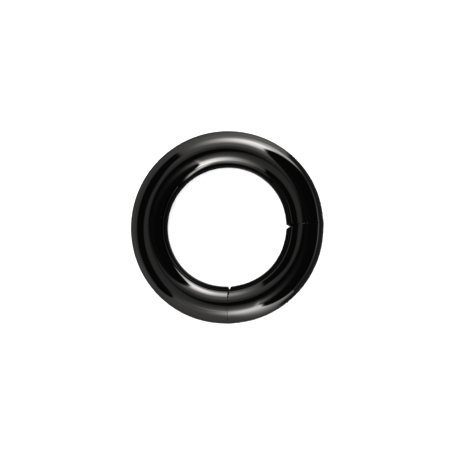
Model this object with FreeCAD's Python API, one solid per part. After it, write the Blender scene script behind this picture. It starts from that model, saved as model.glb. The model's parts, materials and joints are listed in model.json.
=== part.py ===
"""Smooth segment ring, 5 mm wire on a 16 mm bore, with a removable quarter segment.

Row frame: origin at the ring's centre, +Z along the ring's axis, +X towards the right-hand
seam, so that the ring lies flat and the segment fills its lower right quarter. Millimetres.

The open ring carries a press-in spring plunger in each end. Each plunger's ball clicks into
a dimple in the segment's end face and holds the segment shut.
"""

import FreeCAD
import Part
import math
import os

from FreeCAD import Placement, Rotation, Vector

# ---- Ring ---------------------------------------------------------------------------
WIRE_DIAMETER = 5.0
BORE_DIAMETER = 16.0
WIRE_RADIUS = WIRE_DIAMETER / 2
CENTRE_RADIUS = (BORE_DIAMETER + WIRE_DIAMETER) / 2

# ---- Segment and its two seams ------------------------------------------------------
SEGMENT_MIDDLE_DEG = -43.8  # direction of the segment's middle, from +X towards +Y
SEGMENT_SPAN_DEG = 89.0  # from seam to seam, at the middle of the wire
SEAT_DRAFT_DEG = 4.0  # each seam leans this far, so the segment is wider outside
SEAM_GAP = 0.05
EDGE_ROUND = 0.02  # polished round on the rim of each end face

# Lead-in notch, ground off-centre round each end: deepest on the inner side of the ring,
# fading to nothing past the crown of the wire. One (depth, width) for each seam.
NOTCH_GRIND_RADIUS = 2.65
NOTCHES = {"right": (0.48, 0.27), "bottom": (0.36, 0.17)}
SIDES = {"right": 1, "bottom": -1}

# ---- Spring plungers ----------------------------------------------------------------
BALL_RADIUS = 1.588 / 2  # a 1/16 inch ball
BALL_PROUD = 0.40  # how far the ball stands out of the ring's end face
SEAT_RADIUS = BALL_RADIUS + 0.056  # the dimple in the segment
SLEEVE_RADIUS = 1.1
SLEEVE_WALL = 0.27
SLEEVE_FLOOR = 0.25
SLEEVE_LENGTH = 3.4
SLEEVE_SUNK = 0.05  # below the ring's end face
LIP_DEPTH = 0.15
LIP_CLEARANCE = 0.015
SLEEVE_MOUTH_ROUND = 0.10
DRILL_POINT_DEG = 118.0
DRILL_SPARE = 0.05  # drilled this much deeper than the sleeve

# ---- Plunger spring -----------------------------------------------------------------
SPRING_WIRE_RADIUS = 0.10
SPRING_MEAN_RADIUS = 0.65
SPRING_ACTIVE_TURNS = 4.5
SPRING_CLOSED_TURNS = 1.0  # at each end
SPRING_CLOSED_PITCH = 0.205
SPRING_SEAT_CLEARANCE = 0.01
SPRING_POINTS_PER_TURN = 12

FACE_DEPTH = SEAM_GAP / 2  # from the middle of the seam to either end face
BALL_CENTRE_DEPTH = FACE_DEPTH + BALL_RADIUS - BALL_PROUD
SLEEVE_TOP = FACE_DEPTH + SLEEVE_SUNK
REACH = CENTRE_RADIUS + WIRE_DIAMETER  # past the outside of the ring

Z_AXIS = Vector(0, 0, 1)
X_AXIS = Vector(1, 0, 0)


def seam_directions(side):
    """Middle of the wire at a seam, the seam's outward direction and the way into the ring."""
    angle = math.radians(SEGMENT_MIDDLE_DEG + side * SEGMENT_SPAN_DEG / 2)
    lean = angle + side * math.radians(SEAT_DRAFT_DEG)
    centre = Vector(math.cos(angle), math.sin(angle), 0) * CENTRE_RADIUS
    outward = Vector(math.cos(lean), math.sin(lean), 0)
    into_ring = Z_AXIS.cross(outward) * side
    return centre, outward, into_ring


def at_seam(shape, side):
    """Moves a shape from a seam's own frame, x outward and z into the ring, to the row frame."""
    centre, outward, into_ring = seam_directions(side)
    turn = Rotation(outward, into_ring.cross(outward), into_ring, "ZXY")
    moved = shape.copy()
    moved.Placement = Placement(centre, turn).multiply(moved.Placement)
    return moved


def into_segment(shape):
    """Turns a shape in the seam's own frame over, so that its z runs into the segment."""
    turned = shape.copy()
    turned.rotate(Vector(0, 0, 0), X_AXIS, 180)
    return turned


def wedge(spread):
    """The space between the two seams, each moved outwards by spread from its middle."""
    corners = {}
    for name, side in SIDES.items():
        centre, outward, into_ring = seam_directions(side)
        corners[name] = (centre + into_ring * spread, outward)
    (p, u), (q, v) = corners["right"], corners["bottom"]
    along = (q - p).cross(v).z / u.cross(v).z
    apex = p + u * along
    points = [apex, apex + v * 2 * REACH, apex + (u + v) * 2 * REACH, apex + u * 2 * REACH]
    low = [Vector(a.x, a.y, -WIRE_DIAMETER) for a in points]
    face = Part.Face(Part.makePolygon(low + low[:1]))
    return face.extrude(Z_AXIS * 2 * WIRE_DIAMETER)


def notch_cutter(name):
    """What the off-centre grind takes off the ring's end, in the seam's own frame."""
    depth, width = NOTCHES[name]
    run_out = 1.5  # carry the cone on past the surface of the wire
    blank = Part.makeCylinder(
        WIRE_DIAMETER, width * run_out + FACE_DEPTH, Vector(0, 0, 0), Z_AXIS
    )
    kept = Part.makeCone(
        NOTCH_GRIND_RADIUS - depth * FACE_DEPTH / width,
        NOTCH_GRIND_RADIUS + depth * run_out,
        width * run_out + FACE_DEPTH,
        Vector(depth - WIRE_RADIUS + NOTCH_GRIND_RADIUS, 0, 0),
        Z_AXIS,
    )
    return blank.cut(kept)


def round_end_faces(solid, faces_at):
    """Rounds the rim of the solid's two end faces, which pass through the given points."""
    rims = []
    for point, normal in faces_at:
        for face in solid.Faces:
            if not isinstance(face.Surface, Part.Plane):
                continue
            level = abs((face.CenterOfMass - point).dot(normal))
            if level < FACE_DEPTH / 10 and abs(face.normalAt(0, 0).dot(normal)) > 0.999:
                rims += face.OuterWire.Edges
    return solid.makeFillet(EDGE_ROUND, rims)


def end_faces(depth):
    """A point on, and the normal of, each seam's face at this depth into the ring."""
    found = []
    for side in SIDES.values():
        centre, _, into_ring = seam_directions(side)
        found.append((centre + into_ring * depth, into_ring))
    return found


def bore():
    """The drilled hole that takes a plunger."""
    depth = SLEEVE_TOP + SLEEVE_LENGTH + DRILL_SPARE
    point = SLEEVE_RADIUS / math.tan(math.radians(DRILL_POINT_DEG / 2))
    straight = Part.makeCylinder(SLEEVE_RADIUS, depth)
    tip = Part.makeCone(SLEEVE_RADIUS, 0, point, Vector(0, 0, depth), Z_AXIS)
    return straight.fuse(tip)


def whole_ring():
    """The closed ring, with its surface's own seam opposite the segment."""
    ring = Part.makeTorus(CENTRE_RADIUS, WIRE_RADIUS)
    ring.rotate(Vector(0, 0, 0), Z_AXIS, SEGMENT_MIDDLE_DEG + 180)
    return ring


def ring_body():
    solid = whole_ring().cut(wedge(FACE_DEPTH))
    for name, side in SIDES.items():
        solid = solid.cut(at_seam(notch_cutter(name), side))
    solid = round_end_faces(solid, end_faces(FACE_DEPTH))
    for side in SIDES.values():
        solid = solid.cut(at_seam(bore(), side))
    return solid


def segment():
    solid = whole_ring().common(wedge(-FACE_DEPTH))
    for name, side in SIDES.items():
        solid = solid.cut(at_seam(into_segment(notch_cutter(name)), side))
    solid = round_end_faces(solid, end_faces(-FACE_DEPTH))
    dimple = Part.makeSphere(SEAT_RADIUS, Vector(0, 0, BALL_CENTRE_DEPTH))
    for side in SIDES.values():
        solid = solid.cut(at_seam(dimple, side))
    return solid


def plunger_sleeve():
    """A drawn cup with its mouth rolled in over the ball."""
    inner = SLEEVE_RADIUS - SLEEVE_WALL
    bottom = SLEEVE_TOP + SLEEVE_LENGTH
    lip_bottom = SLEEVE_TOP + LIP_DEPTH
    lip_radii = [
        math.sqrt(BALL_RADIUS**2 - (BALL_CENTRE_DEPTH - z) ** 2) + LIP_CLEARANCE
        for z in (SLEEVE_TOP, lip_bottom)
    ]
    outline = [
        (lip_radii[0], SLEEVE_TOP),
        (SLEEVE_RADIUS - SLEEVE_MOUTH_ROUND, SLEEVE_TOP),
        (SLEEVE_RADIUS, SLEEVE_TOP + SLEEVE_MOUTH_ROUND),
        (SLEEVE_RADIUS, bottom),
        (0, bottom),
        (0, bottom - SLEEVE_FLOOR),
        (inner, bottom - SLEEVE_FLOOR),
        (inner, lip_bottom + (inner - lip_radii[1])),
        (lip_radii[1], lip_bottom),
    ]
    wire = Part.makePolygon([Vector(r, 0, z) for r, z in outline + outline[:1]])
    return Part.Face(wire).revolve(Vector(0, 0, 0), Z_AXIS, 360)


def spring_height(turn, low, high):
    """Height of the spring's wire after this many turns, between its two closed ends."""
    closed, active = SPRING_CLOSED_TURNS, SPRING_ACTIVE_TURNS
    rise = SPRING_CLOSED_TURNS * SPRING_CLOSED_PITCH
    if turn <= closed:
        return low + SPRING_CLOSED_PITCH * turn
    if turn <= closed + active:
        return low + rise + (high - low - 2 * rise) * (turn - closed) / active
    return high - SPRING_CLOSED_PITCH * (2 * closed + active - turn)


def detent_spring():
    """Coil spring between the sleeve's floor and the ball."""
    against_ball = BALL_CENTRE_DEPTH + math.sqrt(
        (BALL_RADIUS + SPRING_WIRE_RADIUS) ** 2 - SPRING_MEAN_RADIUS**2
    )
    low = against_ball + SPRING_SEAT_CLEARANCE
    floor = SLEEVE_TOP + SLEEVE_LENGTH - SLEEVE_FLOOR
    high = floor - SPRING_WIRE_RADIUS - SPRING_SEAT_CLEARANCE
    turns = 2 * SPRING_CLOSED_TURNS + SPRING_ACTIVE_TURNS
    steps = round(turns * SPRING_POINTS_PER_TURN)
    points = []
    for step in range(steps + 1):
        turn = turns * step / steps
        angle = 2 * math.pi * turn
        x, y = math.cos(angle) * SPRING_MEAN_RADIUS, math.sin(angle) * SPRING_MEAN_RADIUS
        points.append(Vector(x, y, spring_height(turn, low, high)))
    line = Part.BSplineCurve()
    line.interpolate(points)
    start = Part.Wire(Part.Circle(points[0], line.tangent(0)[0], SPRING_WIRE_RADIUS).toShape())
    sweep = Part.BRepOffsetAPI.MakePipeShell(Part.Wire(line.toShape()))
    sweep.setFrenetMode(True)
    sweep.add(start)
    sweep.build()
    sweep.makeSolid()
    return sweep.shape()


def save(name, shape):
    solids = shape.Solids
    whole = len(solids) == 1 and solids[0].isValid() and solids[0].Volume > 0
    box = solids[0].BoundBox
    print(
        f"{name}: {'ok' if whole else 'NOT ONE VALID SOLID'}, {solids[0].Volume:.3f} mm3, "
        f"{box.XLength:.2f} x {box.YLength:.2f} x {box.ZLength:.2f} mm"
    )
    solids[0].exportStep(f"parts/{name}.step")


def main():
    os.makedirs("parts", exist_ok=True)
    save("ring_body", ring_body())
    save("segment", segment())
    ball = Part.makeSphere(BALL_RADIUS, Vector(0, 0, BALL_CENTRE_DEPTH))
    for name, side in SIDES.items():
        save(f"{name}_plunger_sleeve", at_seam(plunger_sleeve(), side))
        save(f"{name}_detent_spring", at_seam(detent_spring(), side))
        save(f"{name}_detent_ball", at_seam(ball, side))
        _, _, into_ring = seam_directions(side)
        print(f"{name} plunger axis, into the ring: {into_ring.x:.6f}, {into_ring.y:.6f}, 0")


main()
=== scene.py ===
"""Looks of a smooth black segment ring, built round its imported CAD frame.

The ring's two large pieces are lofted as closed meshes of quads: bore, seat, rounded rim and
wire in one run of loops. Sleeves and balls are revolved, and the springs are swept coils.
The ring stands on a pale floor under a soft sky and sun. A light tent and three scrims, which
only reflections see, glow by painted formulas. The tent's paint was fitted to the reference's
reflections, so most of the match in the shading comes from it and not from the materials.
"""

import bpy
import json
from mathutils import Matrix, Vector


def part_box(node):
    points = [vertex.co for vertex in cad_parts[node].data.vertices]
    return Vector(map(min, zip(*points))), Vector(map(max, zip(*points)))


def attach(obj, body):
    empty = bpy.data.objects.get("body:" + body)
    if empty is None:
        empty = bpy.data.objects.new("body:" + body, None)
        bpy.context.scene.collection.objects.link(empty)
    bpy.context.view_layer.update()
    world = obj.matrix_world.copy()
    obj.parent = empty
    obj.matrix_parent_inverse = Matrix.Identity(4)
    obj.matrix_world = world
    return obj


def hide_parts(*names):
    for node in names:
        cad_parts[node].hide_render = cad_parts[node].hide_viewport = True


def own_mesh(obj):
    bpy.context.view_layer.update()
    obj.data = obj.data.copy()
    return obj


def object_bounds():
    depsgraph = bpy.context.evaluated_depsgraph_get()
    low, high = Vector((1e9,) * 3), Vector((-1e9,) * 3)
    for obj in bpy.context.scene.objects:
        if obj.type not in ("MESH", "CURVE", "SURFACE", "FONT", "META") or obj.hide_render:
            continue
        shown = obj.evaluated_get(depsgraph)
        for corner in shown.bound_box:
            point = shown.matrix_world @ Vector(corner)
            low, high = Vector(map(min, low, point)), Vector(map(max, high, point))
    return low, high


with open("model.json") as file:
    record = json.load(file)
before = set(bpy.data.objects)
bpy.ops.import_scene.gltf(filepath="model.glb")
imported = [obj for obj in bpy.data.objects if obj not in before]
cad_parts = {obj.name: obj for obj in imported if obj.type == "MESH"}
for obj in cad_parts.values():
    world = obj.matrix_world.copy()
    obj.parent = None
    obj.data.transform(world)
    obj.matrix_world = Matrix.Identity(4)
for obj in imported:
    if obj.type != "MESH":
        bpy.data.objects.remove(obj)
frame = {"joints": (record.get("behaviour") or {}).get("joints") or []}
CAD_BOUNDS = [list(corner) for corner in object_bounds()]

import json
import math

import bmesh
import bpy
import numpy as np
from mathutils import Matrix, Vector

MM = 0.001
SIDES = {"right": 1, "bottom": -1}
JOINTS = {joint["name"]: joint for joint in frame["joints"]}

# ---- Ring, read from the frame ------------------------------------------------------
WIRE_RADIUS = CAD_BOUNDS[1][2]
CENTRE_RADIUS = CAD_BOUNDS[1][0] - WIRE_RADIUS
BALL_PROUD = JOINTS["right_ball_press"]["range_m"][1]
RELEASE = JOINTS["segment_release"]["axis"]
SEGMENT_MIDDLE = math.atan2(RELEASE[1], RELEASE[0])

# ---- Ends of the ring and of the segment --------------------------------------------
SEAM_GAP = 0.05 * MM
EDGE_ROUND = 0.01 * MM
NOTCH_GRIND_RADIUS = 2.65 * MM
NOTCH_BLEND = 0.02 * MM  # softens the line where the notch leaves the flat seat
NOTCHES = {"right": (0.48 * MM, 0.27 * MM), "bottom": (0.36 * MM, 0.17 * MM)}  # depth, width
BORE_DEPTH = 3.45 * MM
BORE_CHAMFER = 0.04 * MM
DRILL_POINT = math.radians(118)
SEAT_CLEARANCE = 0.056 * MM  # between a ball and its dimple in the segment
STRAIGHT_LENGTH = 1.5 * MM  # each end is a little straighter than the rest of the ring
STRAIGHT_TURN = math.radians(4.0)
FLAT_WIDTH = 2.2 * MM  # and pressed in a little behind it, so that the seam itself stays put

# ---- Plungers -----------------------------------------------------------------------
SLEEVE_WALL = 0.27 * MM
SLEEVE_FLOOR = 0.25 * MM
SLEEVE_SUNK = 0.05 * MM
SLEEVE_FIT = 0.004 * MM  # the sleeve is this much smaller than its bore
MOUTH_ROUND = 0.10 * MM
LIP_DEPTH = 0.15 * MM
LIP_CLEARANCE = 0.015 * MM
SPRING_WIRE_RADIUS = 0.10 * MM
SPRING_CLEARANCE = 0.01 * MM
SPRING_TURNS = 6.5
SPRING_CLOSED_PITCH = 0.205 * MM
BALL_TRACK_DEPTH = 0.003 * MM  # the dimple's rim burnishes a shallow track round the ball

# ---- Meshes -------------------------------------------------------------------------
AROUND_WIRE = 192
LOOP_SPACING_DEG = 1.0
FILLET_STEPS = 6
SEAT_STEPS = 14
AROUND_BALL = 96
AROUND_SPRING_WIRE = 20
STEPS_PER_TURN = 40
DIMPLE_STEPS = 14
SEAT_SEARCH_STEPS = 12
BESIDE_SEAM_DEG = (0.12, 0.4)  # two loops close to each seam, before the even spacing


def smooth(low, high, x):
    """0 below low, 1 above high, and an even S-curve between them."""
    t = np.clip((np.asarray(x, float) - low) / (high - low), 0, 1)
    return t * t * (3 - 2 * t)


def bell(x, width):
    return np.exp(-0.5 * (np.asarray(x, float) / width) ** 2)


def unit(v):
    return v / np.linalg.norm(v, axis=-1, keepdims=True)


# ---- Seams: each has a frame of its own, x outward and z into the ring --------------
class Seam:
    """One of the two seams, found from its detent ball and the way the ball is pressed."""

    def __init__(self, name):
        low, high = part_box(f"{name}_detent_ball")
        self.name = name
        self.side = SIDES[name]
        self.ball_radius = (high - low).z / 2
        self.into_ring = np.array(JOINTS[f"{name}_ball_press"]["axis"], float)
        self.into_ring /= np.linalg.norm(self.into_ring)
        up = np.array((0.0, 0.0, 1.0))
        outward = -np.cross(up, self.into_ring) * self.side
        self.axes = np.stack([outward, np.cross(self.into_ring, outward), self.into_ring])
        self.ball_depth = SEAM_GAP / 2 + self.ball_radius - BALL_PROUD
        self.origin = np.array((low + high) / 2) - self.into_ring * self.ball_depth

    def to_world(self, points):
        return points @ self.axes + self.origin

    def to_local(self, points):
        return (points - self.origin) @ self.axes.T

    def seat(self, x, y):
        """Height of the ring's end surface above the seam's middle, and its two slopes."""
        depth, width = NOTCHES[self.name]
        centre = depth - WIRE_RADIUS + NOTCH_GRIND_RADIUS
        reach = np.hypot(x - centre, y)
        past = reach - NOTCH_GRIND_RADIUS
        soft = np.sqrt(past**2 + NOTCH_BLEND**2)
        slope = width / depth * (1 + past / soft) / 2
        height = SEAM_GAP / 2 + width / depth * (past + soft) / 2
        return height, slope * (x - centre) / reach, slope * y / reach


class Plunger:
    """Sizes of one plunger, from its nodes' boxes, as depths along the way into the ring."""

    def __init__(self, seam):
        low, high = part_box(f"{seam.name}_plunger_sleeve")
        self.radius = (high - low).z / 2
        main = int(np.argmax(np.abs(seam.into_ring)))
        lean = abs(seam.into_ring[main])
        span = high[main] - low[main]
        self.length = (span - 2 * self.radius * math.sqrt(1 - lean**2)) / lean
        self.top = SEAM_GAP / 2 + SLEEVE_SUNK
        self.bottom = self.top + self.length
        self.floor = self.bottom - SLEEVE_FLOOR
        low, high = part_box(f"{seam.name}_detent_spring")
        self.coil_radius = (high - low).z / 2 - SPRING_WIRE_RADIUS
        touch = (seam.ball_radius + SPRING_WIRE_RADIUS) ** 2 - self.coil_radius**2
        self.coil_start = seam.ball_depth + math.sqrt(touch) + SPRING_CLEARANCE
        self.coil_end = self.floor - SPRING_WIRE_RADIUS - SPRING_CLEARANCE


# ---- Meshes: every piece is a run of loops from one pole to another -----------------
def add_values(piece, name, kind, values):
    """A number or a vector for each point of a mesh, for its material to read."""
    made = piece.data.attributes.new(name, kind, "POINT")
    field = "value" if kind == "FLOAT" else "vector"
    made.data.foreach_set(field, np.ascontiguousarray(values, dtype=np.float32).ravel())


def points_of(piece):
    points = np.zeros(len(piece.data.vertices) * 3)
    piece.data.vertices.foreach_get("co", points)
    return points.reshape(-1, 3)


def finished(name, mesh):
    """Turns the faces outwards, shades them smooth and puts the mesh in the scene."""
    work = bmesh.new()
    work.from_mesh(mesh)
    bmesh.ops.recalc_face_normals(work, faces=work.faces)
    work.to_mesh(mesh)
    work.free()
    mesh.polygons.foreach_set("use_smooth", [True] * len(mesh.polygons))
    piece = bpy.data.objects.new(name, mesh)
    bpy.context.scene.collection.objects.link(piece)
    return piece


def lofted_mesh(name, loops, marks=None):
    """A closed mesh through loops of equal length, whose first and last loops are poles.

    marks gives names to lists of one number for each loop, which the points then carry.
    """
    count = len(loops[0])
    rings = loops[1:-1]
    points = np.vstack([*rings, loops[0].mean(axis=0), loops[-1].mean(axis=0)])
    first, last = len(points) - 2, len(points) - 1
    tail = (len(rings) - 1) * count
    faces = []
    for i in range(count):
        j = (i + 1) % count
        faces.append((first, j, i))
        for row in range(0, tail, count):
            faces.append((row + i, row + j, row + count + j, row + count + i))
        faces.append((last, tail + i, tail + j))
    mesh = bpy.data.meshes.new(name)
    mesh.from_pydata(points.tolist(), [], faces)
    piece = finished(name, mesh)
    for mark, values in (marks or {}).items():
        spread = np.repeat(values[1:-1], count)
        add_values(piece, mark, "FLOAT", np.concatenate([spread, values[:1], values[-1:]]))
    return piece


def around(count):
    return np.linspace(0, 2 * math.pi, count, endpoint=False)


def rim_circle(radius, depth, turns):
    return np.stack(
        [radius * np.cos(turns), radius * np.sin(turns), np.full(len(turns), depth)], axis=-1
    )


def rounded(outline, radius, steps=4):
    """The outline with an arc at each inner corner, smaller where its neighbours are close."""
    outline = np.array(outline)
    points = [outline[0]]
    for before, corner, after in zip(outline, outline[1:], outline[2:]):
        back, on = unit(before - corner), unit(after - corner)
        half = math.acos(np.clip(back @ on, -1, 1)) / 2
        room = 0.45 * min(np.linalg.norm(before - corner), np.linalg.norm(after - corner))
        reach = min(radius / math.tan(half), room)
        middle = corner + unit(back + on) * reach / math.cos(half)
        first, last = corner + back * reach - middle, corner + on * reach - middle
        for share in np.linspace(0, 1, steps + 1):
            turned = unit(first * (1 - share) + last * share)
            points.append(middle + turned * reach * math.tan(half))
    return points + [outline[-1]]


# ---- The ring and its segment -------------------------------------------------------
def wire_point(angle, turn):
    """Point of the ring's surface: angle round the ring, turn round the wire from outside."""
    reach = CENTRE_RADIUS + WIRE_RADIUS * np.cos(turn)
    return np.stack(
        [reach * np.cos(angle), reach * np.sin(angle), WIRE_RADIUS * np.sin(turn)], axis=-1
    )


def wire_normal(angle, turn):
    return np.stack(
        [np.cos(turn) * np.cos(angle), np.cos(turn) * np.sin(angle), np.sin(turn)], axis=-1
    )


def bore_loops(seam, turns):
    """From the drill's point up the drilled wall to the chamfered mouth, in a seam's frame."""
    radius = Plunger(seam).radius
    bottom = SEAM_GAP / 2 + BORE_DEPTH
    point = radius / math.tan(DRILL_POINT / 2)
    profile = [(0.0, bottom + point), (radius / 2, bottom + point / 2)]
    profile += [(radius * 0.98, bottom + point * 0.02), (radius, bottom)]
    mouth = SEAM_GAP / 2 + BORE_CHAMFER
    profile += [(radius, mouth + (bottom - mouth) * share) for share in (0.98, 0.5, 0.02, 0)]
    profile += [(radius + BORE_CHAMFER * share, SEAM_GAP / 2) for share in (1, 1.2)]
    return [rim_circle(radius, depth, turns) for radius, depth in profile]


def dimple_loops(seam, turns):
    """The ball's seat in the segment, from its deepest point to its rim."""
    radius = seam.ball_radius + SEAT_CLEARANCE
    widest = math.acos((seam.ball_depth + SEAM_GAP / 2) / radius)
    profile = []
    for angle in np.linspace(0, widest, DIMPLE_STEPS):
        profile.append((radius * math.sin(angle), seam.ball_depth - radius * math.cos(angle)))
    rim = profile[-1][0]
    profile += [(rim + BORE_CHAMFER * share, -SEAM_GAP / 2) for share in (0.4, 0.8)]
    return [rim_circle(radius, depth, turns) for radius, depth in profile]


def end_loops(seam, into, turns, pole_loops):
    """Loops of one end, from the pole inside it to the wire's surface, and the angles there.

    into is 1 for the ring's end and -1 for the segment's, which faces it across the seam.
    """
    seam_angle = math.atan2(seam.origin[1], seam.origin[0])
    angle = np.full(len(turns), seam_angle)
    for _ in range(SEAT_SEARCH_STEPS):  # closer and closer along the ring, on to the seat
        local = seam.to_local(wire_point(angle, turns))
        height, _, _ = seam.seat(local[:, 0], local[:, 1])
        miss = local[:, 2] - into * height
        angle = angle - seam.side * miss / CENTRE_RADIUS
    edge = seam.to_local(wire_point(angle, turns))
    _, slope_x, slope_y = seam.seat(edge[:, 0], edge[:, 1])
    seat_normal = unit(np.stack([slope_x, slope_y, -np.ones_like(slope_x)], axis=-1))
    seat_normal[:, 2] *= into
    outside = wire_normal(angle, turns) @ seam.axes.T
    cosine = (seat_normal * outside).sum(axis=-1, keepdims=True)
    middle = edge - EDGE_ROUND * (seat_normal + outside) / (1 + cosine)
    fillet = []
    for share in np.linspace(0, 1, FILLET_STEPS + 1):
        fillet.append(middle + EDGE_ROUND * unit(seat_normal * (1 - share) + outside * share))
    rim = pole_loops[-1]
    loops = list(pole_loops)
    for share in 1 - (1 - np.linspace(0, 1, SEAT_STEPS + 1)[1:-1]) ** 1.6:
        x, y = (rim * (1 - share) + fillet[0] * share)[:, :2].T
        height, _, _ = seam.seat(x, y)
        loops.append(np.stack([x, y, into * height], axis=-1))
    loops = [seam.to_world(loop) for loop in loops + fillet]
    last = loops[-1]
    return loops, np.unwrap(np.arctan2(last[:, 1], last[:, 0]))


def end_marks(pole_count):
    """For each loop of an end: whether the bare steel shows there, and how worn the coat is."""
    seat_count = SEAT_STEPS - 1
    bare = [1.0] * (pole_count - 1) + [0.0] * (1 + seat_count + FILLET_STEPS + 1)
    worn = [0.0] * (pole_count + seat_count) + [1.0] * (FILLET_STEPS + 1)
    seat = [0.0] * (pole_count - 1) + [1.0] * (1 + seat_count) + [0.0] * (FILLET_STEPS + 1)
    return {"bare": bare, "worn": worn, "seat": seat}


def wire_loops(start, end, turns):
    """Loops along the wire between two ends, closer together just beside each end."""
    span = abs(math.degrees(np.mean(end - start)))
    steps = round(span / LOOP_SPACING_DEG)
    beside = [degrees / span for degrees in BESIDE_SEAM_DEG]
    shares = beside + list(np.linspace(0, 1, steps + 1)[1:-1]) + [1 - s for s in beside[::-1]]
    return [wire_point(start + (end - start) * share, turns) for share in shares]


def straighten(points, seams):
    """Straightens the wire near each seam, as a bent wire's ends stay; the bores don't move."""
    radial = unit(points * (1, 1, 0))
    moved = points.copy()
    for seam in seams:
        local = seam.to_local(points)
        along = np.abs(local[..., 2])
        reach = np.linalg.norm(local[..., :2], axis=-1) / WIRE_RADIUS
        share = np.clip(1 - along / STRAIGHT_LENGTH, 0, 1) ** 2 - bell(along, FLAT_WIDTH)
        share *= smooth(0.5, 0.8, reach) * (reach < 2)
        moved += radial * (STRAIGHT_TURN * STRAIGHT_LENGTH / 2 * share)[..., None]
    return moved


def build_wire_piece(name, into, middle, poles):
    """The ring, whose ends are bored, or the segment, whose ends are dimpled."""
    turns = around(AROUND_WIRE)
    right, bottom = seams["right"], seams["bottom"]
    # a turn round the wire is the other way round in the right seam's own frame
    head, start = end_loops(right, into, turns, poles(right, -turns))
    tail, end = end_loops(bottom, into, turns, poles(bottom, turns))
    if into > 0:
        end = end + 2 * math.pi * math.ceil((start.mean() - end.mean()) / (2 * math.pi))
    along = wire_loops(start, end, turns)
    loops = [straighten(loop, seams.values()) for loop in head + along + tail[::-1]]
    marks = {}
    for mark, values in end_marks(len(poles(right, turns))).items():
        beside = [values[-1] * 0.6, 0.0]
        run = beside + [0.0] * (len(along) - 4) + beside[::-1]
        marks[mark] = values + run + values[::-1]
    piece = lofted_mesh(name, loops, marks)
    x, y, z = points_of(piece).T / MM
    arc = (np.arctan2(y, x) - middle + math.pi) % (2 * math.pi) - math.pi
    reach = CENTRE_RADIUS / MM
    unrolled = np.stack([np.hypot(x, y) - reach, z, arc * reach], -1)
    add_values(piece, "wire", "FLOAT_VECTOR", unrolled)
    return piece


# ---- Plunger pieces -----------------------------------------------------------------
def revolved(name, seam, profile, marks=None):
    loops = [seam.to_world(rim_circle(r, depth, around(AROUND_BALL))) for r, depth in profile]
    piece = lofted_mesh(name, loops, marks)
    add_values(piece, "lathe", "FLOAT_VECTOR", seam.to_local(points_of(piece)) / MM)
    return piece


def sleeve(seam, plunger):
    """A drawn cup, its mouth rolled in over the ball."""
    outer = plunger.radius - SLEEVE_FIT
    inner = plunger.radius - SLEEVE_WALL
    lip_bottom = plunger.top + LIP_DEPTH
    lips = []
    for depth in (plunger.top, lip_bottom):
        ball = math.sqrt(seam.ball_radius**2 - (seam.ball_depth - depth) ** 2)
        lips.append(ball + LIP_CLEARANCE)
    outside = rounded([(0, plunger.bottom), (outer, plunger.bottom), (outer, plunger.top),
                       ((outer + lips[0]) / 2, plunger.top)], MOUTH_ROUND, 6)
    inside = rounded([((outer + lips[0]) / 2, plunger.top), (lips[0], plunger.top),
                      (lips[1], lip_bottom), (inner, lip_bottom + inner - lips[1]),
                      (inner, plunger.floor), (0, plunger.floor)], MOUTH_ROUND / 3)
    return revolved(f"{seam.name}_sleeve_visual", seam, outside + inside[1:])


def ball(seam):
    """The detent ball, with the track that the dimple's rim has burnished round it."""
    track = math.acos((seam.ball_depth + SEAM_GAP / 2) / seam.ball_radius)
    profile, shine = [], []
    for angle in np.linspace(0, math.pi, AROUND_BALL // 2 + 1):
        near = float(bell(angle - track, 0.05))
        radius = seam.ball_radius - BALL_TRACK_DEPTH * near
        profile.append((radius * math.sin(angle), seam.ball_depth - radius * math.cos(angle)))
        shine.append(near)
    return revolved(f"{seam.name}_ball_visual", seam, profile, {"worn": shine})


def spring(seam, plunger):
    """A coil with one closed turn at each end, wound from the ball to the sleeve's floor."""
    turn = np.linspace(0, SPRING_TURNS, round(SPRING_TURNS * STEPS_PER_TURN) + 1)
    opened = smooth(0.7, 1.3, turn) * (1 - smooth(0.7, 1.3, turn - SPRING_TURNS + 2))
    closed_length = SPRING_CLOSED_PITCH * SPRING_TURNS
    spare = plunger.coil_end - plunger.coil_start - closed_length
    rise = np.concatenate([[0], np.cumsum((opened[1:] + opened[:-1]) / 2)])
    depth = plunger.coil_start + SPRING_CLOSED_PITCH * turn + spare * rise / rise[-1]
    angle = 2 * math.pi * turn
    radial = np.stack([np.cos(angle), np.sin(angle), np.zeros_like(angle)], -1)
    line = radial * plunger.coil_radius
    line[:, 2] = depth
    tangent = unit(np.gradient(line, axis=0))
    side = np.cross(tangent, radial)
    turns = around(AROUND_SPRING_WIRE)
    section = np.stack([np.cos(turns), np.sin(turns)]) * SPRING_WIRE_RADIUS
    shares = [0.0, 0.9] + [1.0] * len(line) + [0.9, 0.0]  # cut ends, with a small chamfer
    rows = [0, 0, *range(len(line)), len(line) - 1, len(line) - 1]
    loops = []
    for row, share in zip(rows, shares):
        offset = np.outer(section[0], radial[row]) + np.outer(section[1], side[row])
        loops.append(seam.to_world(line[row] + share * offset))
    piece = lofted_mesh(f"{seam.name}_spring_visual", loops)
    length = angle * plunger.coil_radius
    drawn = []
    for row, share in zip(rows[1:-1], shares[1:-1]):
        drawn.append(np.stack([*section * share, np.full(len(turns), length[row])], -1))
    ends = [[0, 0, length[0]], [0, 0, length[-1]]]
    add_values(piece, "strand", "FLOAT_VECTOR", np.vstack([*drawn, ends]) / MM)
    return piece


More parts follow.
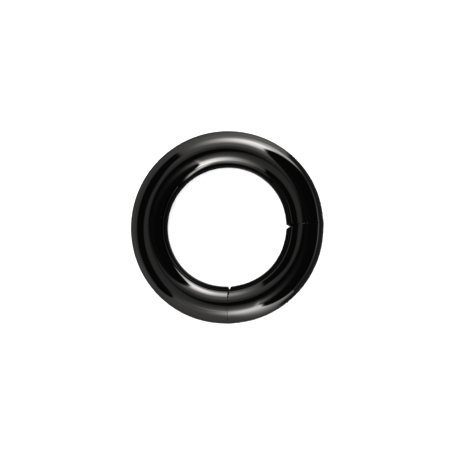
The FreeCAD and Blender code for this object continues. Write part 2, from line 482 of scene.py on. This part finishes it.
# ---- Materials ----------------------------------------------------------------------
class Finish:
    """A metal's material, with short ways to add nodes to it. Its lengths are millimetres."""

    def __init__(self, name):
        self.material = bpy.data.materials.new(name)
        self.material.use_nodes = True
        self.tree = self.material.node_tree
        self.shader = self.tree.nodes["Principled BSDF"]
        self.shader.inputs["Metallic"].default_value = 1.0

    def add(self, kind, inputs, **settings):
        made = self.tree.nodes.new("ShaderNode" + kind)
        for key, value in settings.items():
            setattr(made, key, value)
        for key, value in inputs.items():
            if isinstance(value, bpy.types.NodeSocket):
                self.tree.links.new(value, made.inputs[key])
            else:
                made.inputs[key].default_value = value
        return made

    def mark(self, name):
        return self.add("Attribute", {}, attribute_name=name).outputs["Fac"]

    def noise(self, places, stretch, detail=2.0):
        """Noise over the places that a mesh carries; a large stretch makes fine detail."""
        where = self.add("Attribute", {}, attribute_name=places).outputs["Vector"]
        scaled = self.add("VectorMath", {0: where, 1: stretch}, operation="MULTIPLY")
        found = self.add("TexNoise", {"Vector": scaled.outputs["Vector"], "Scale": 1.0,
                                      "Detail": detail})
        return found.outputs["Fac"]

    def spread(self, share, low, high, start=0.0, stop=1.0):
        """Carries a share between start and stop over to the range from low to high."""
        made = self.add("MapRange", {"Value": share, "From Min": start, "From Max": stop,
                                     "To Min": low, "To Max": high})
        return made.outputs["Result"]

    def times(self, one, other):
        return self.add("Math", {0: one, 1: other}, operation="MULTIPLY").outputs["Value"]

    def plus(self, one, other):
        return self.add("Math", {0: one, 1: other}, operation="ADD").outputs["Value"]

    def blend(self, share, one, other):
        made = self.add("Mix", {0: share, 6: one, 7: other}, data_type="RGBA")
        return made.outputs[2]

    def bump(self, height, depth, below=None):
        inputs = {"Height": height, "Distance": depth, "Strength": 1.0}
        if below:
            inputs["Normal"] = below
        return self.add("Bump", inputs).outputs["Normal"]

    def surface(self, **sockets):
        for key, value in sockets.items():
            self.tree.links.new(value, self.shader.inputs[key.replace("_", " ")])
        return self.material


def black_coat():
    """Mirror-polished black coat on steel, worn at the rims, with bare steel in the holes."""
    finish = Finish("black_coat")
    finish.shader.inputs["Specular Tint"].default_value = (0.45, 0.45, 0.45, 1)
    tone = finish.noise("wire", (0.35, 0.35, 0.22), 3.0)
    coat = finish.blend(tone, (0.0505, 0.0487, 0.0463, 1), (0.0465, 0.0463, 0.0462, 1))
    patches = finish.noise("wire", (9.0, 9.0, 4.0), 4.0)
    wear = finish.times(finish.mark("worn"), finish.spread(patches, 0.0, 1.0, 0.45, 0.62))
    coat = finish.blend(finish.times(wear, 0.1), coat, (0.13, 0.126, 0.12, 1))
    turned = finish.noise("wire", (3.0, 3.0, 28.0), 3.0)
    steel = finish.blend(turned, (0.30, 0.295, 0.285, 1), (0.42, 0.41, 0.40, 1))
    bare = finish.mark("bare")
    colour = finish.blend(bare, coat, steel)
    # polishing lines run round the ring, broken up and faint, under a slight uneven haze
    lines = finish.noise("wire", (26.0, 26.0, 0.12), 4.0)
    haze = finish.noise("wire", (0.5, 0.5, 0.3), 4.0)
    rough = finish.plus(finish.spread(haze, 0.022, 0.05, 0.3, 0.75),
                        finish.spread(lines, 0.0, 0.012, 0.55, 0.75))
    seat = finish.mark("seat")
    rough = finish.plus(rough, finish.times(seat, 0.16))
    rough = finish.plus(rough, finish.plus(finish.times(bare, 0.22), finish.times(wear, 0.5)))
    waves = finish.bump(finish.noise("wire", (0.45, 0.45, 0.3), 1.0), 0.0016 * MM)
    polish = finish.bump(lines, 0.00005 * MM, waves)
    grind = finish.times(finish.plus(seat, bare), finish.noise("wire", (2.0, 34.0, 34.0), 3.0))
    return finish.surface(Base_Color=colour, Roughness=rough,
                          Normal=finish.bump(grind, 0.0012 * MM, polish))


def stainless_sleeve():
    """Drawn stainless steel, with fine turned rings and a slightly dull, blotchy skin."""
    finish = Finish("stainless_sleeve")
    rings = finish.noise("lathe", (0.6, 0.6, 42.0), 3.0)
    skin = finish.noise("lathe", (2.4, 2.4, 2.4), 4.0)
    colour = finish.blend(skin, (0.66, 0.64, 0.61, 1), (0.55, 0.545, 0.535, 1))
    rough = finish.plus(finish.spread(skin, 0.16, 0.30), finish.spread(rings, 0.0, 0.10))
    turned = finish.bump(rings, 0.0010 * MM)
    speckle = finish.noise("lathe", (34.0, 34.0, 34.0), 2.0)
    return finish.surface(Base_Color=colour, Roughness=rough,
                          Normal=finish.bump(speckle, 0.0005 * MM, turned))


def spring_wire():
    """Hard-drawn wire, with lines along it and a faint straw colour from its heat treatment."""
    finish = Finish("spring_wire")
    lines = finish.noise("strand", (55.0, 55.0, 1.2), 4.0)
    straw = finish.noise("strand", (3.0, 3.0, 0.5), 3.0)
    colour = finish.blend(straw, (0.50, 0.49, 0.47, 1), (0.50, 0.43, 0.33, 1))
    rough = finish.spread(lines, 0.20, 0.42)
    return finish.surface(Base_Color=colour, Roughness=rough,
                          Normal=finish.bump(lines, 0.0012 * MM))


def bearing_steel():
    """A lapped ball: random fine scratches, and a duller track where the dimple's rim rubs."""
    finish = Finish("bearing_steel")
    cloud = finish.noise("lathe", (1.6, 1.6, 1.6), 4.0)
    scratches = finish.noise("lathe", (38.0, 9.0, 24.0), 4.0)
    track = finish.mark("worn")
    bright = finish.blend(cloud, (0.62, 0.62, 0.62, 1), (0.70, 0.695, 0.68, 1))
    colour = finish.blend(finish.times(track, 0.6), bright, (0.45, 0.44, 0.42, 1))
    rough = finish.plus(finish.spread(cloud, 0.04, 0.10),
                        finish.spread(scratches, 0.0, 0.06, 0.5, 0.8))
    rough = finish.plus(rough, finish.times(track, 0.16))
    return finish.surface(Base_Color=colour, Roughness=rough,
                          Normal=finish.bump(scratches, 0.0002 * MM))


# ---- The object ---------------------------------------------------------------------
def place(piece, node, body, slot, material):
    piece.data.materials.append(material)
    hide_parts(node)
    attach(piece, body)


def build_plunger(seam, materials):
    plunger = Plunger(seam)
    name = seam.name
    place(sleeve(seam, plunger), f"{name}_plunger_sleeve", "ring", "stainless_sleeve",
          materials["stainless_sleeve"])
    place(ball(seam), f"{name}_detent_ball", f"{name}_ball", "bearing_steel",
          materials["bearing_steel"])
    coil = spring(seam, plunger)
    place(coil, f"{name}_detent_spring", "ring", "spring_wire", materials["spring_wire"])
    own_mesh(coil)


seams = {name: Seam(name) for name in SIDES}
coat = black_coat()
ring = build_wire_piece("ring_visual", 1, SEGMENT_MIDDLE + math.pi, bore_loops)
segment = build_wire_piece("segment_visual", -1, SEGMENT_MIDDLE, dimple_loops)
place(ring, "ring_body", "ring", "black_coated_steel", coat)
place(segment, "segment", "segment", "black_coated_steel", coat)
inner_steels = {"stainless_sleeve": stainless_sleeve(), "spring_wire": spring_wire(),
                "bearing_steel": bearing_steel()}
for each_seam in seams.values():
    build_plunger(each_seam, inner_steels)

# ---- Floor --------------------------------------------------------------------------
FLOOR_Z = -WIRE_RADIUS
FLOOR_SIZE = 1.6


def pale_floor():
    half = FLOOR_SIZE / 2
    mesh = bpy.data.meshes.new("floor")
    corners = [(-half, -half, FLOOR_Z), (half, -half, FLOOR_Z), (half, half, FLOOR_Z),
               (-half, half, FLOOR_Z)]
    mesh.from_pydata(corners, [], [(0, 1, 2, 3)])
    piece = bpy.data.objects.new("floor", mesh)
    bpy.context.scene.collection.objects.link(piece)
    material = bpy.data.materials.new("pale_floor")
    material.use_nodes = True
    shader = material.node_tree.nodes["Principled BSDF"]
    shader.inputs["Base Color"].default_value = (0.9, 0.9, 0.9, 1)
    shader.inputs["Roughness"].default_value = 0.9
    shader.inputs["Specular IOR Level"].default_value = 0.0
    mesh.materials.append(material)
    piece.visible_glossy = False


# ---- Light tent: only the metal's reflections see it --------------------------------
# This isn't plain studio light. The brightness of the reference's reflections was traced back
# off a torus into directions, and 56 numbers of the tent's paint were fitted to that by least
# squares, then rounded, and many were changed. The tent's radius and height come from
# a grid of trial spheres on the same directions. The scrims' paint was tuned to the
# same reflections. Views from other angles have no reference behind them.
TENT_RADIUS = 52 * MM
TENT_HEIGHT = 40 * MM  # of the middle of its sphere
METAL_SHARE = 0.048  # of light that the coat reflects; only its product with the glow was matched
HOLE_POLAR = math.radians(6)  # the opening that the camera looks through
HOLE_AZIMUTH = math.radians(293)
HOLE_RADIUS = 13.5  # degrees
TENT_COLUMNS, TENT_DOME_ROWS, TENT_FLOOR_ROWS = 360, 150, 60
TENT_FLOOR_GAP = 0.01 * MM  # between the pale floor and the tent's own, below it
SCRIM_ROWS = 60
SCRIM_RADIUS = 15 * MM
SCRIM_HEIGHTS = (FLOOR_Z, 5.6 * MM)
SCRIM_AZIMUTHS = (219, 316)
SEEN_FROM = (11.7 * MM, 2.1 * MM)  # radius and height on the wire, for the scrim's paint
INNER_SCRIM_RADIUS = 7.0 * MM
INNER_SCRIM_HEIGHTS = (0.5 * MM, 1.85 * MM)
INNER_SCRIM_AZIMUTHS = (44, 140)
INNER_SCRIM_BACK = 0.02 * MM  # how far its dark back lies behind its painted front


def tent_tone(azimuth, polar):
    """How light the tent looks in the metal, 0 to 255, by direction from the ring in degrees."""
    azimuth = azimuth % 360
    # fabric of the tent
    fabric = 38 + 36 * bell(azimuth - 95, 22) * smooth(14, 30, polar) + 6 * smooth(55, 85, polar)
    fabric += 38 * bell(azimuth - 278, 28) * smooth(22, 42, polar)
    # upper lamp, brightest beside its right edge, which slants away below
    upper_edge = 71 - 29 * np.clip((polar - 52) / 37, 0, 1.2) ** 1.57
    inside = azimuth - upper_edge
    upper = 152 * (1 - smooth(78, 126, azimuth)) * smooth(33, 55, polar)
    upper *= 1 - smooth(55, 78, polar)
    upper += 114 * bell(inside - 9, 15) * smooth(55, 70, polar) * (1 - smooth(84, 96, polar))
    upper += 18 * bell(azimuth - 75, 5) * (1 - smooth(40, 52, polar)) * smooth(18, 28, polar)
    lit = smooth(-2.5, 2.5, inside)
    # lower lamp
    lower_edge = 289 + 17 * np.clip((polar - 60) / 30, 0, 1.1) ** 2.15
    inside = lower_edge - azimuth
    lower = 145 * smooth(217, 280, azimuth) * smooth(40, 60, polar)
    lower *= 1 - smooth(72, 100, polar)
    lower += 40 * bell(inside - 8, 9) * smooth(62, 76, polar) * (1 - smooth(86, 97, polar))
    lit = lit * smooth(-2, 2, inside)
    # dark card on the left
    top = 27.5 + 18 * (azimuth - 145) / 70 + 17 * (1 - smooth(125, 146, azimuth))
    top += 4 * smooth(204, 224, azimuth)
    bottom = 74 + 11 * smooth(144, 242, azimuth)
    card = smooth(123, 126.5, azimuth) * (1 - smooth(221, 224.5, azimuth))
    card *= smooth(top - 4.5, top + 4.5, polar) * (1 - smooth(bottom - 4, bottom + 4, polar))
    # opening that the camera looks through
    along = np.sin(np.radians(polar)) * np.cos(np.radians(azimuth) - HOLE_AZIMUTH)
    along = along * math.sin(HOLE_POLAR) + np.cos(np.radians(polar)) * math.cos(HOLE_POLAR)
    hole = 1 - smooth(HOLE_RADIUS - 4, HOLE_RADIUS + 4, np.degrees(np.arccos(along)))
    tone = (fabric + upper + lower) * lit * (1 - card) * (1 - hole)
    # light that spills over the dark right side
    past = np.clip(azimuth - 288, 0, None)
    spill = 99 * np.exp(-past / 17.7) * bell(polar - (40 - 0.23 * past), 8.9)
    spill *= smooth(282, 292, azimuth)
    spill += 4 * bell(polar - 21, 6) * (1 - lit)
    tone = tone + spill + 6 * np.exp(-tone / 20)
    # floor of the tent, with a bright line where the dark side meets it
    floor = 54 + 40 * bell(azimuth - 68, 22) + 8 * bell(azimuth - 110, 20)
    floor += 8 * bell(azimuth - 203, 20) + 10 * bell(azimuth - 285, 14)
    floor_lit = smooth(50, 54, azimuth) * (1 - smooth(300, 304, azimuth))
    floor = floor * floor_lit + (23 + 22 * smooth(97.3, 100, polar)) * (1 - floor_lit)
    floor_share = smooth(90, 94, polar)
    tone = tone * (1 - floor_share) + floor * floor_share
    skirting = 28 + 46 * bell((azimuth + 178) % 360 - 180, 16)
    tone += skirting * bell(polar - 91.1, 1.8) * (1 - floor_lit)
    # under and inside the ring the floor is dark, and a little lighter close to the ring
    beside = 28 + 50 * bell(azimuth - 62, 18) + 80 * bell(azimuth - 226, 16)
    beside += 60 * bell(azimuth - 313, 13) + 36 * bell(azimuth - 268, 16)
    middle = 6 + beside * (1 - smooth(104, 134, polar))
    under = smooth(101, 104, polar)
    return tone * (1 - under) + middle * under


def scrim_tone(azimuth, z):
    """The same for the scrim, by place on the ring's outside and by the scrim's height."""
    place = azimuth + 2.3 * np.sin(np.radians(315 - azimuth))
    polar = np.degrees(np.arctan2(SCRIM_RADIUS - SEEN_FROM[0], z - SEEN_FROM[1]))
    fabric = 40 + 16 * smooth(30, 60, polar)
    lamp = 142 * smooth(246, 282, place) ** 1.45 + 9 * bell(place - 248, 10)
    above, below = 16 + 20 * smooth(268, 300, place), 13
    lamp *= np.where(polar > 53, bell(polar - 53, above), bell(polar - 53, below))
    edge = 295 + 5 * (np.clip(polar - 60, 0, 50) / 22) ** 2
    lit = smooth(-2, 2, edge - place)
    half = 28 * np.sqrt(np.clip(1 - ((place - 218) / 16.5) ** 2, 0, 1))
    card = smooth(-5, 5, half - np.abs(polar - 67 + 0.1 * (place - 222)))
    card *= 1 - smooth(232, 236, place)
    tone = 6 + (fabric + lamp - 6) * lit * (1 - card)
    tone += 24 * bell(polar - 36, 7) * (1 - lit) * (1 - smooth(298, 312, place))
    dark_floor = smooth(110, 128, polar) * smooth(301, 308, place)
    return tone * (1 - dark_floor) + 23 * dark_floor


def inner_scrim_tone(azimuth, z):
    """The same for the front of the scrim in the ring's opening."""
    height = z / MM
    band = (45 + 80 * smooth(58, 92, azimuth)) * np.clip(height - 0.85, 0, 1)
    band *= smooth(44, 56, azimuth) * (1 - smooth(106, 120, azimuth))
    streak = 165 * bell(height - 1.3 + 0.03 * (azimuth - 120), 0.3)
    streak *= smooth(100, 116, azimuth) * (1 - smooth(124, 136, azimuth))
    return 7 + band + streak


def inner_scrim_back_tone(azimuth, z):
    return np.full(len(z), 12.0)


def tone_to_radiance(tone):
    shade = tone / 255
    linear = np.where(shade < 0.04045, shade / 12.92, ((shade + 0.055) / 1.055) ** 2.4)
    return linear / METAL_SHARE


def glowing(piece, tone):
    """Lights a stage piece by the tone at each of its points, for reflections alone."""
    add_values(piece, "glow", "FLOAT", tone_to_radiance(tone))
    material = bpy.data.materials.new(f"{piece.name}_glow")
    material.use_nodes = True
    nodes, links = material.node_tree.nodes, material.node_tree.links
    nodes.clear()
    output = nodes.new("ShaderNodeOutputMaterial")
    emission = nodes.new("ShaderNodeEmission")
    glow = nodes.new("ShaderNodeAttribute")
    glow.attribute_name = "glow"
    links.new(glow.outputs["Fac"], emission.inputs["Strength"])
    links.new(emission.outputs["Emission"], output.inputs["Surface"])
    material.cycles.emission_sampling = "NONE"
    piece.data.materials.append(material)
    piece.visible_camera = False
    piece.visible_diffuse = False
    piece.visible_transmission = False
    piece.visible_shadow = False


def light_tent():
    """A sphere cut off by a floor of its own, just under the pale floor."""
    lowest = math.acos((FLOOR_Z - TENT_HEIGHT) / TENT_RADIUS)
    profile = []
    for angle in np.linspace(0, lowest, TENT_DOME_ROWS):
        height = TENT_HEIGHT + TENT_RADIUS * math.cos(angle)
        profile.append((TENT_RADIUS * math.sin(angle), height))
    rim = profile[-1][0]
    for share in np.linspace(1, 0, TENT_FLOOR_ROWS)[1:]:
        profile.append((rim * share, FLOOR_Z - TENT_FLOOR_GAP))
    turns = around(TENT_COLUMNS)
    piece = lofted_mesh("tent", [rim_circle(r, z, turns) for r, z in profile])
    x, y, z = points_of(piece).T
    azimuth = np.degrees(np.arctan2(y, x))
    polar = np.degrees(np.arctan2(np.hypot(x, y), z))
    glowing(piece, tent_tone(azimuth, polar))


def light_scrim(name, radius, azimuths, heights, tone):
    """A part of an upright cylinder round the ring's axis, lit by its tone's function."""
    columns = 2 * (azimuths[1] - azimuths[0]) + 1
    turns = np.radians(np.linspace(*azimuths, columns))
    levels = np.linspace(*heights, SCRIM_ROWS)
    points = np.vstack([rim_circle(radius, z, turns) for z in levels])
    faces = []
    for row in range(SCRIM_ROWS - 1):
        for i in range(columns - 1):
            a = row * columns + i
            faces.append((a, a + 1, a + columns + 1, a + columns))
    mesh = bpy.data.meshes.new(name)
    mesh.from_pydata(points.tolist(), [], faces)
    piece = finished(name, mesh)
    x, y, z = points_of(piece).T
    glowing(piece, tone(np.degrees(np.arctan2(y, x)) % 360, z))


def light_scrims():
    """One beside the ring's lower left, and a two-sided one in its opening, at the top."""
    light_scrim("scrim", SCRIM_RADIUS, SCRIM_AZIMUTHS, SCRIM_HEIGHTS, scrim_tone)
    inner = INNER_SCRIM_AZIMUTHS, INNER_SCRIM_HEIGHTS
    light_scrim("inner_scrim", INNER_SCRIM_RADIUS, *inner, inner_scrim_tone)
    back = INNER_SCRIM_RADIUS - INNER_SCRIM_BACK
    light_scrim("inner_scrim_back", back, *inner, inner_scrim_back_tone)


# ---- Studio light and camera --------------------------------------------------------
CAMERA_TILT = math.radians(8.5)
CAMERA_TOWARDS = math.radians(-45)
CAMERA_DISTANCE = 336.3 * MM
CAMERA_AIM = Vector((-0.135 * MM, 0.15 * MM, 0))
CAMERA_LENS = 200
SKY_STRENGTH = 2.8
SUN_STRENGTH = 1.0
SUN_ANGLE = math.radians(60)
SUN_TILT = (math.radians(-30), math.radians(-25), 0)


def studio_light():
    world = bpy.data.worlds.new("world")
    bpy.context.scene.world = world
    world.use_nodes = True
    background = world.node_tree.nodes["Background"]
    background.inputs["Color"].default_value = (1, 1, 1, 1)
    background.inputs["Strength"].default_value = SKY_STRENGTH
    light = bpy.data.lights.new("soft_sun", "SUN")
    light.energy = SUN_STRENGTH
    light.angle = SUN_ANGLE
    sun = bpy.data.objects.new("soft_sun", light)
    sun.rotation_euler = SUN_TILT
    sun.visible_glossy = False
    bpy.context.scene.collection.objects.link(sun)


def camera():
    data = bpy.data.cameras.new("camera")
    data.lens = CAMERA_LENS
    data.sensor_width = 36
    data.clip_start, data.clip_end = 0.01, 5
    piece = bpy.data.objects.new("camera", data)
    flat = Vector((math.cos(CAMERA_TOWARDS), math.sin(CAMERA_TOWARDS), 0))
    back = flat * math.sin(CAMERA_TILT) + Vector((0, 0, math.cos(CAMERA_TILT)))
    right = Vector((0, 1, 0)).cross(back).normalized()
    up = back.cross(right)
    piece.location = CAMERA_AIM + back * CAMERA_DISTANCE
    piece.rotation_mode = "QUATERNION"
    piece.rotation_quaternion = Matrix((right, up, back)).transposed().to_quaternion()
    bpy.context.scene.collection.objects.link(piece)
    bpy.context.scene.camera = piece


pale_floor()
light_tent()
light_scrims()
studio_light()
camera()
bpy.context.scene.view_settings.view_transform = "Standard"
